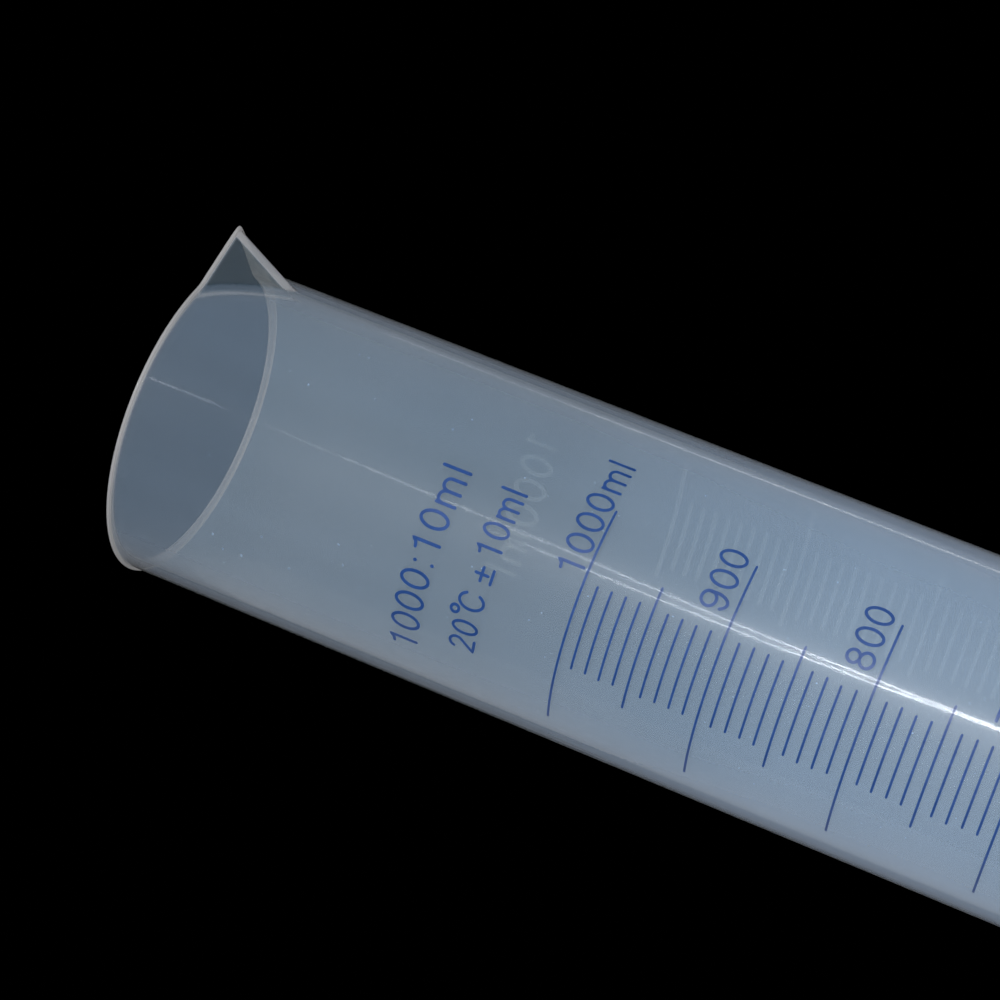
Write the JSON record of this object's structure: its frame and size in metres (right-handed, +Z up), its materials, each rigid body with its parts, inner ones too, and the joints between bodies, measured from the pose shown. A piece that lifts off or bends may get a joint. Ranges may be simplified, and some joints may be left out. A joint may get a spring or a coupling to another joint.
{
  "type": "graduated cylinder",
  "caption": "Tall translucent plastic measuring cylinder with a V pouring spout, printed volume scale and detachable hexagonal base.",
  "frame": {"origin": "centre of the face that the base stands on", "axes": "+Z up along the tube's axis, +X towards the pouring spout, -Y towards the printed scale"},
  "size_m": [0.1192, 0.1056, 0.4276],
  "materials": {
    "clear_plastic": "translucent natural polypropylene, moulded satin gloss",
    "base_plastic": "translucent natural polypropylene, thicker moulding",
    "blue_ink": "thin printed blue ink"
  },
  "bodies": {
    "base": {"hexagonal_base": "base_plastic"},
    "tube": {"measuring_tube": "clear_plastic", "hundred_ml_lines": "blue_ink", "fifty_ml_lines": "blue_ink", "ten_ml_lines": "blue_ink", "scale_numerals": "blue_ink", "capacity_inscription": "blue_ink", "calibration_inscription": "blue_ink"}
  },
  "joints": [
    {"name": "tube_lift", "type": "slide", "parent": "base", "child": "tube", "axis": [0, 0, 1], "range_m": [0, 0.03]}
  ]
}
